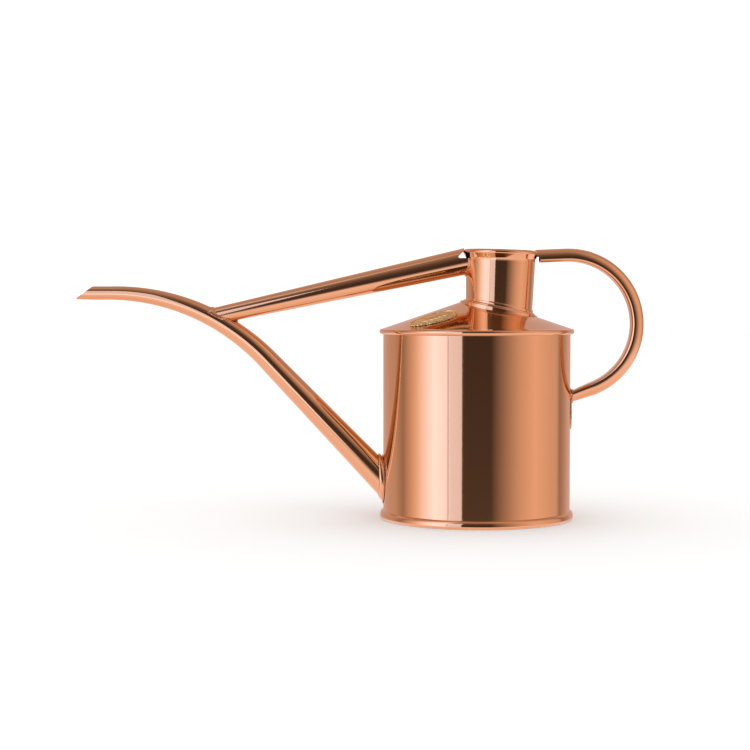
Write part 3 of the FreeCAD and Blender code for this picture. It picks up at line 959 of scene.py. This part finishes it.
@dataclass
class Handle:
    """D-section handle: round outside, flat inside, one long bend and a slimmer tail."""

    bend: Point = (55.4, 117.4)
    bend_r: float = 41.9
    rise: float = 2.3
    sweep: float = 161.7
    run: float = 28.0
    tail: float = 21.0
    tail_seen: float = 13.0
    corner: float = 2.0
    thick: float = side("handle_tube", "y") + corner
    foot_thick: float = 6.4
    wall: float = 0.8
    cut: Point = (38.1, side("handle_neck_solder", "z", 0))
    rim_x: float = side("handle_tube", "x", 0)
    foot_r: float = side("handle_foot_plate", "x")

    def ring(self) -> bpy.types.Object:
        """D-shaped ring of edges: a plate with two corners well rounded and two slightly.

        Returns:
            The ring.
        """
        deselect()
        half = self.thick - self.corner
        bpy.ops.mesh.primitive_plane_add(size=1.0)
        bpy.context.object.scale = (self.thick * MM, 2 * half * MM, 1)
        piece = named_primitive("handle")
        for outer_side, offset, segments in ((True, half * 0.9995, 22), (False, self.corner, 7)):
            edit_all(piece)
            bpy.ops.mesh.select_mode(type="VERT")
            bpy.ops.mesh.select_all(action="DESELECT")
            bpy.ops.object.mode_set(mode="OBJECT")
            for vertex in piece.data.vertices:
                x, y = vertex.co.x / MM, abs(vertex.co.y) / MM
                vertex.select = x < 0 if outer_side else x > self.thick / 2 - 0.01 and y > half - 0.01
            bpy.ops.object.mode_set(mode="EDIT")
            bpy.ops.mesh.bevel(offset=offset * MM, affect="VERTICES", segments=segments, profile=0.5)
            bpy.ops.object.mode_set(mode="OBJECT")
        edit_all(piece)
        bpy.ops.mesh.remove_doubles(threshold=0.01 * MM)
        bpy.ops.mesh.select_all(action="SELECT")
        bpy.ops.mesh.delete(type="ONLY_FACE")
        bpy.ops.object.mode_set(mode="OBJECT")
        return piece

    def line(self) -> list[Station]:
        """Stations from inside the neck to inside the wall.

        Returns:
            The stations, in order.
        """
        made = []
        top = math.radians(90 + self.rise)
        start_x = self.bend[0] + self.bend_r * math.cos(top)
        start_z = self.bend[1] + self.bend_r * math.sin(top)
        rise = math.radians(self.rise)
        for i in range(9):
            back = self.run * (1 - i / 9)
            made.append(Station(start_x - back * math.cos(rise), start_z - back * math.sin(rise), self.rise,
                                self.thick))
        for i in range(65):
            turn = self.sweep * i / 64
            angle = math.radians(90 + self.rise - turn)
            made.append(Station(self.bend[0] + self.bend_r * math.cos(angle),
                                self.bend[1] + self.bend_r * math.sin(angle), self.rise - turn, self.thick))
        end, out = made[-1], math.radians(self.rise - self.sweep)
        for i in range(1, 8):
            far = self.tail * i / 7
            made.append(Station(end.x + far * math.cos(out), end.z + far * math.sin(out), end.heading,
                                self.thick - (self.thick - self.foot_thick) * far / self.tail_seen))
        return made

    def tube(self, plug: bpy.types.Object) -> None:
        """Bend the handle and fit both its ends.

        Args:
            plug: the filled neck, as a cutter.
        """
        piece = swept(self.ring(), self.line())
        thicken(piece, self.wall)
        below = block("below_rim", (10, -30, 120), (self.cut[0], 30, self.cut[1]))
        outline = [(0.4, 40.0), (self.foot_r, 40.0), (self.foot_r, 110.0), (0.4, 110.0)]
        wall = turned("inside_wall", outline, ROUND, solid=False)
        mouth = block("over_mouth", (-14.5, -30, 130), (self.rim_x, 30, 190))
        carve(piece, plug, below, wall, mouth)
        discard(below, wall, mouth)
        smooth(piece)
        settle(piece, Finish.COPPER, "copper", "handle_tube")


@dataclass
class Badge:
    """Oval brass plate on the shoulder with a raised sprig of leaves inside a ring of beads."""

    centre: Point = (middle("badge_plate", "x"), middle("badge_plate", "y"))
    turn: float = 8.0
    long: float = 28.4
    short: float = 17.8
    lift: float = 1.0
    beads: int = 60
    bead_r: float = 0.34
    bead_inset: float = 1.9
    stem_reach: float = 8.6
    stem_long: float = 15.5
    stem_bow: float = 1.3
    leaf_pairs: int = 5

    def bead_ring(self) -> list[bpy.types.Object]:
        """Small beads inside the border.

        Returns:
            The beads, centred on the plate's own middle.
        """
        made = []
        for i in range(self.beads):
            angle = math.tau * i / self.beads
            deselect()
            along = (self.long / 2 - self.bead_inset) * math.cos(angle)
            across = (self.short / 2 - self.bead_inset) * math.sin(angle)
            bpy.ops.mesh.primitive_uv_sphere_add(segments=8, ring_count=6, radius=self.bead_r * MM,
                                                 location=(along * MM, across * MM, 0))
            made.append(named_primitive("bead"))
        return made

    def leaf(self, place: Point, angle: float, length: float) -> bpy.types.Object:
        """One raised leaf, pointed at its tip and pressed in along its middle.

        Args:
            place: its centre in the plate's frame, in millimetres.
            angle: its direction, in degrees.
            length: its half length, in millimetres.

        Returns:
            The leaf.
        """
        deselect()
        bpy.ops.mesh.primitive_uv_sphere_add(segments=16, ring_count=10, radius=1.0,
                                             rotation=(0, math.pi / 2, 0))
        piece = named_primitive("leaf")
        for vertex in piece.data.vertices:
            point = vertex.co
            taper = (1 - 0.55 * point.x) * 0.42
            vein = 1 - 0.35 * math.exp(-(point.y / 0.18) ** 2)
            vertex.co = (length * MM * point.x, length * MM * taper * point.y, 0.62 * MM * point.z * vein)
        activate(piece)
        piece.rotation_euler = (0, 0, math.radians(angle))
        piece.location = (place[0] * MM, place[1] * MM, 0)
        return named_primitive("leaf")

    def sprig(self) -> list[bpy.types.Object]:
        """Curved stem with leaves in pairs and one at its end.

        Returns:
            The stem and its leaves, centred on the plate's own middle.
        """
        deselect()
        start, long, bow = -self.stem_reach, self.stem_long, self.stem_bow
        stations = [Station(start + long * i / 20, bow * math.sin(math.pi * i / 20), 0.0, 0.34 - 0.008 * i)
                    for i in range(21)]
        stem = filled(swept(round_ring("stem", stations[0].size, 10), stations))
        activate(stem)
        stem.rotation_euler = (-math.pi / 2, 0, 0)
        stem = named_primitive("stem")
        made = [stem, self.leaf((self.stem_reach, -0.1), -10, 2.1)]
        for i in range(self.leaf_pairs):
            x = -6.6 + 3.0 * i
            y = bow * math.sin(math.pi * (x - start) / long)
            size = 2.6 - 0.22 * i
            reach = 0.86 * size
            for hand in (-1, 1):
                angle = hand * (48 - 3 * i)
                out, off = math.cos(math.radians(angle)), math.sin(math.radians(angle))
                made.append(self.leaf((x + reach * out, -y + hand * 0.25 + reach * off), angle, size))
        return made

    def relief(self, body: Body) -> None:
        """Join the raised work and lay it on the plate, which follows the shoulder.

        Args:
            body: the body whose shoulder carries the plate.
        """
        parts = self.bead_ring() + self.sprig()
        deselect()
        for part in parts:
            part.select_set(True)
        bpy.context.view_layer.objects.active = parts[0]
        bpy.ops.object.join()
        piece = bpy.context.object
        piece.name = "badge_relief"
        cos, sin = math.cos(math.radians(self.turn)), math.sin(math.radians(self.turn))
        rise = math.hypot(1, body.slope)
        for vertex in piece.data.vertices:
            u, v, w = (c / MM for c in vertex.co)
            x, y = self.centre[0] + u * cos - v * sin, self.centre[1] + u * sin + v * cos
            z = body.height_at(math.hypot(x, y)) + rise * (self.lift + w)
            vertex.co = (x * MM, y * MM, z * MM)
        smooth(piece, 60.0)
        settle(piece, Finish.BRASS, "brass")

    def plate(self) -> None:
        """Dress the plate and its border."""
        settle(merged_copy("badge_plate", "badge_ground"), Finish.BRASS, "brass", "badge_plate")
        settle(merged_copy("badge_border", "badge_rim"), Finish.BRASS, "brass", "badge_border")


@dataclass
class Joints:
    """Solder runs, the handle's foot plate and the hidden wire."""

    copper: tuple[str, ...] = ("handle_foot_plate",)
    plated: tuple[str, ...] = ("brace_foot_solder", "brace_neck_solder", "handle_neck_solder",
                               "handle_foot_solder", "foot_plate_solder")
    tin: tuple[str, ...] = ("body_seam_solder", "base_solder", "shoulder_solder", "neck_solder",
                            "badge_solder")

    def dress(self) -> None:
        """Give the outside pieces a smooth skin and the hidden ones a finish."""
        for node in self.copper:
            settle(merged_copy(node, node + "_skin"), Finish.COPPER, "copper", node)
        for node in self.plated:
            settle(merged_copy(node, node + "_run"), Finish.PLATED_SOLDER, "plated_solder", node)
        for node in self.tin:
            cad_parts[node].material_slots[0].material = Finish.TIN_SOLDER.material()
        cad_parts["neck_rim_wire"].material_slots[0].material = Finish.WIRE.material()


@dataclass
class Studio:
    """Floor, light card, surroundings and camera. Sizes are in metres.

    light_zones gives the brightness that the metal mirrors all round the can: each pair is a turn,
    with 0 and 1 behind the can, 0.5 in front and more towards the handle, and the light there.
    A large bright zone stands at the left front and ends sharply, the room ahead is dark, and a
    softer zone stands at the right.
    """

    floor_half: float = 6.0
    camera_place: Place = (-0.0616, -1.0, 0.1317)
    camera_pitch: float = 2.58
    camera_lens: float = 79.15
    copper_cast: Colour = (1.23, 0.86, 0.80)
    card_cast: Colour = (1.18, 1.23, 1.86)
    ground_near: Colour = (0.98, 0.69, 0.66)
    ground_far: Colour = (1.11, 0.90, 1.02)
    ceiling: float = 0.42
    room_light: float = 1.13
    key_centre: Place = (-0.35, -0.645, 0.215)
    key_size: Point = (0.23, 0.73)
    key_light: float = 0.78
    light_zones: tuple[tuple[float, float], ...] = (
        (0.00, 0.55), (0.16, 0.50), (0.21, 0.30), (0.30, 1.00), (0.345, 1.25), (0.39, 1.10),
        (0.40, 0.10), (0.45, 0.05), (0.54, 0.05), (0.64, 0.60), (0.70, 0.80), (0.81, 0.60),
        (0.83, 0.30), (0.90, 0.55))

    def floor(self) -> None:
        """Lay the pale floor, slightly below the can's rest plane."""
        deselect()
        bpy.ops.mesh.primitive_plane_add(size=2 * self.floor_half, location=(0, 0, -0.0001))
        plane = bpy.context.object
        plane.name = "floor"
        bpy.ops.object.transform_apply(location=True)
        plane.data.materials.append(FloorFinish().material())
        plane.visible_glossy = False

    def card(self, name: str, centre: Place, facing: Place, size: Point, radiance: float) -> None:
        """Hang one rectangular light card that only polished metal mirrors.

        Args:
            name: the light's name.
            centre: its centre, in metres.
            facing: the point that it faces.
            size: width and height, in metres.
            radiance: its brightness as a mirror would show it.
        """
        data = bpy.data.lights.new(name, "AREA")
        data.shape = "RECTANGLE"
        data.size, data.size_y = size
        data.color = self.card_cast
        data.energy = radiance * math.pi * size[0] * size[1]
        lamp = bpy.data.objects.new(name, data)
        lamp.location = centre
        lamp.rotation_euler = (Vector(facing) - Vector(centre)).to_track_quat("-Z", "Y").to_euler()
        lamp.visible_camera = False
        lamp.visible_diffuse = False
        bpy.context.scene.collection.objects.link(lamp)

    def surround(self, graph: Graph) -> Sock:
        """Colour of the surroundings that the metal mirrors, by direction.

        Args:
            graph: the world's graph.

        Returns:
            The colour.
        """
        way = graph.node("ShaderNodeTexCoord", {}, {}, "Generated")
        split = graph.node("ShaderNodeSeparateXYZ", {}, {0: way}, "X")
        parts = split.socket.node.outputs
        east, north, up = (Sock(graph, parts[k]) for k in range(3))
        around = graph.node("ShaderNodeMath", {"operation": "ARCTAN2"}, {0: east, 1: 0.0 - north})
        turn = around / (2 * math.pi) + 0.5
        level = graph.node("ShaderNodeMath", {"operation": "ARCSINE"}, {0: up}) / math.pi + 0.5
        sides = 2.0 * graph.ramp(turn, [(place, light / 2) for place, light in self.light_zones])
        sides = sides + graph.ramp(level, [(0.45, 0.03), (0.494, 0.0)])
        cool = graph.ramp(turn, [(0.264, 0.0), (0.335, 1.0), (0.416, 1.0), (0.43, 0.0)])
        above = graph.ramp(level, [(0.583, 0.0), (0.70, 0.15), (0.82, 0.5), (0.96, 1.0)])
        below = graph.ramp(level, [(0.0, 1.0), (0.36, 1.0), (0.455, 0.0)])
        outward = graph.ramp(level, [(0.10, 0.0), (0.37, 1.0)])
        ground = graph.blend(outward, self.ground_near, self.ground_far)
        sides = graph.tinted(sides, graph.blend(cool, self.copper_cast, self.card_cast))
        band = graph.blend(above, sides, tuple(self.ceiling * c for c in self.copper_cast))
        return graph.blend(below, band, ground)

    def world(self) -> None:
        """Soft surroundings: white to the eye and to matt things, graded for the metal to mirror."""
        world = bpy.data.worlds.new("studio")
        bpy.context.scene.world = world
        world.use_nodes = True
        graph = Graph(world.node_tree)
        mirrored = graph.node("ShaderNodeBackground", {}, {"Color": self.surround(graph), "Strength": 1.0})
        seen = graph.node("ShaderNodeBackground", {}, {"Color": (1, 1, 1, 1),
                                                          "Strength": self.room_light})
        glossy = graph.node("ShaderNodeLightPath", {}, {}, "Is Glossy Ray")
        both = graph.node("ShaderNodeMixShader", {}, {0: glossy, 1: seen, 2: mirrored})
        graph.node("ShaderNodeOutputWorld", {}, {"Surface": both})

    def lights(self) -> None:
        """Hang the key card at the left front, square to the front."""
        x, _, z = self.key_centre
        self.card("key_card", self.key_centre, (x, 0.0, z), self.key_size, self.key_light)

    def camera(self) -> None:
        """Place the camera at the can's front, a little above the shoulder."""
        data = bpy.data.cameras.new("camera")
        data.lens = self.camera_lens
        data.sensor_width = 36.0
        data.clip_end = 50.0
        camera = bpy.data.objects.new("camera", data)
        camera.location = self.camera_place
        camera.rotation_euler = (math.radians(90.0 - self.camera_pitch), 0.0, 0.0)
        bpy.context.scene.collection.objects.link(camera)
        bpy.context.scene.camera = camera

    def build(self) -> None:
        """Build the whole studio."""
        self.floor()
        self.world()
        self.lights()
        self.camera()
        bpy.context.scene.view_settings.view_transform = "Standard"


def main() -> None:
    """Build the can's pieces in order, then the studio round them."""
    logging.basicConfig(level=logging.INFO, format="%(message)s")
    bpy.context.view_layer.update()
    body, neck, spout = Body(), Neck(), Spout()
    plug, spout_solid, mass = neck.plug(), spout.solid(), body.mass()
    body.wall(spout_solid)
    body.base()
    body.shoulder(plug)
    neck.tube()
    neck.collar(plug, mass)
    spout.tube()
    spout.trim()
    Brace().tube(spout_solid, plug)
    Handle().tube(plug)
    discard(plug, spout_solid, mass)
    badge = Badge()
    badge.plate()
    badge.relief(body)
    Joints().dress()
    Studio().build()


if __name__ == "__main__":
    main()
